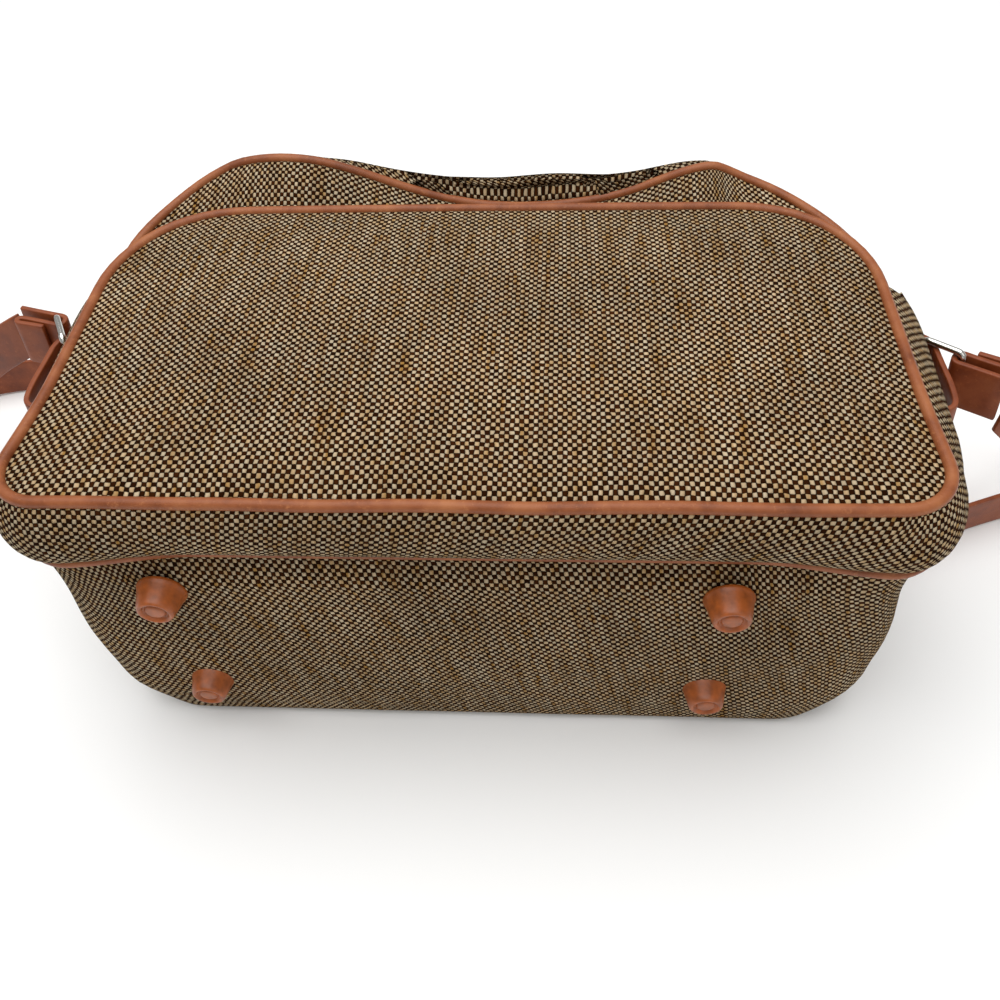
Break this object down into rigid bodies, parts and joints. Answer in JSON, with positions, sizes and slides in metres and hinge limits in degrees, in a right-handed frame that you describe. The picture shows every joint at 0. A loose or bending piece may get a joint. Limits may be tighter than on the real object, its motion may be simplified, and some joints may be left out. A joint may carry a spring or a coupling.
{
  "type": "camera bag",
  "caption": "Soft tweed camera bag with a hinged zip lid, front slip pocket, leather piping, bottom feet, padded dividers and a shoulder strap on swinging rings.",
  "frame": {"origin": "centre of the back panel's outer face, which lies on the floor", "axes": "+X across the width, +Y up the bag from its feet to its lid, +Z from the back panel to the front pocket"},
  "size_m": [0.7164, 0.3402, 0.1735],
  "materials": {
    "tweed": "woven tan and dark brown yarns",
    "tan_leather": "smooth tan leather, soft sheen",
    "foam": "closed-cell foam sheet",
    "divider_pile": "brushed loop pile over foam",
    "lining_cloth": "plain brown lining cloth",
    "zip_tape": "dark brown woven tape",
    "zip_coil": "dark brown nylon coil",
    "zip_metal": "antique brass",
    "ring_nickel": "nickel-plated wire",
    "board": "pressed fibre board",
    "foot_plastic": "moulded tan plastic",
    "rivet_steel": "plated steel"
  },
  "bodies": {
    "bag": {"back_panel": "tweed", "body_gusset": "tweed", "top_gusset": "tweed", "front_panel": "tweed", "back_piping": "tan_leather", "front_piping": "tan_leather", "pocket_panel": "tweed", "pocket_gusset": "tweed", "pocket_piping": "tan_leather", "base_board": "board", "base_foam": "foam", "back_foam": "foam", "front_foam": "foam", "left_foam": "foam", "right_foam": "foam", "lining": "lining_cloth", "body_zip_tape": "zip_tape", "body_zip_coil": "zip_coil", "zip_stops": "zip_metal", "feet": "foot_plastic", "foot_rivets": "rivet_steel", "foot_washers": "rivet_steel", "anchor_patch_left": "tan_leather", "anchor_patch_right": "tan_leather", "chape_left": "tan_leather", "chape_right": "tan_leather", "shoulder_strap": "tan_leather"},
    "lid": {"lid_panel": "tweed", "lid_foam": "foam", "lid_lining": "lining_cloth", "lid_zip_tape": "zip_tape", "lid_zip_coil": "zip_coil"},
    "slider_left": {"slider_left": "zip_metal"},
    "slider_right": {"slider_right": "zip_metal"},
    "pull_left": {"pull_left": "zip_metal"},
    "pull_right": {"pull_right": "zip_metal"},
    "ring_left": {"ring_left": "ring_nickel", "strap_end_left": "tan_leather"},
    "ring_right": {"ring_right": "ring_nickel", "strap_end_right": "tan_leather"},
    "divider_left": {"divider_left": "divider_pile"},
    "divider_right": {"divider_right": "divider_pile"}
  },
  "joints": [
    {"name": "lid_hinge", "type": "hinge", "parent": "bag", "child": "lid", "pos_m": [0, 0.112, 0.1525], "axis": [1, 0, 0], "range_deg": [0, 110]},
    {"name": "slider_left_travel", "type": "slide", "parent": "lid", "child": "slider_left", "axis": [1, 0, 0], "range_m": [-0.095, 0]},
    {"name": "slider_right_travel", "type": "slide", "parent": "lid", "child": "slider_right", "axis": [1, 0, 0], "range_m": [0, 0.095]},
    {"name": "pull_left_lift", "type": "hinge", "parent": "slider_left", "child": "pull_left", "pos_m": [-0.0075, 0.1158, 0.014], "axis": [0, 0, -1], "range_deg": [0, 120]},
    {"name": "pull_right_lift", "type": "hinge", "parent": "slider_right", "child": "pull_right", "pos_m": [0.0075, 0.1158, 0.014], "axis": [0, 0, 1], "range_deg": [0, 120]},
    {"name": "ring_left_swing", "type": "hinge", "parent": "bag", "child": "ring_left", "pos_m": [-0.198, 0.001, 0.1365], "axis": [-0.1392, 0, -0.9903], "range_deg": [-60, 20]},
    {"name": "ring_right_swing", "type": "hinge", "parent": "bag", "child": "ring_right", "pos_m": [0.198, 0.001, 0.1365], "axis": [-0.1392, 0, 0.9903], "range_deg": [0, 100]},
    {"name": "divider_left_shift", "type": "slide", "parent": "bag", "child": "divider_left", "axis": [1, 0, 0], "range_m": [-0.055, 0.04]},
    {"name": "divider_right_shift", "type": "slide", "parent": "bag", "child": "divider_right", "axis": [1, 0, 0], "range_m": [-0.04, 0.055]}
  ]
}
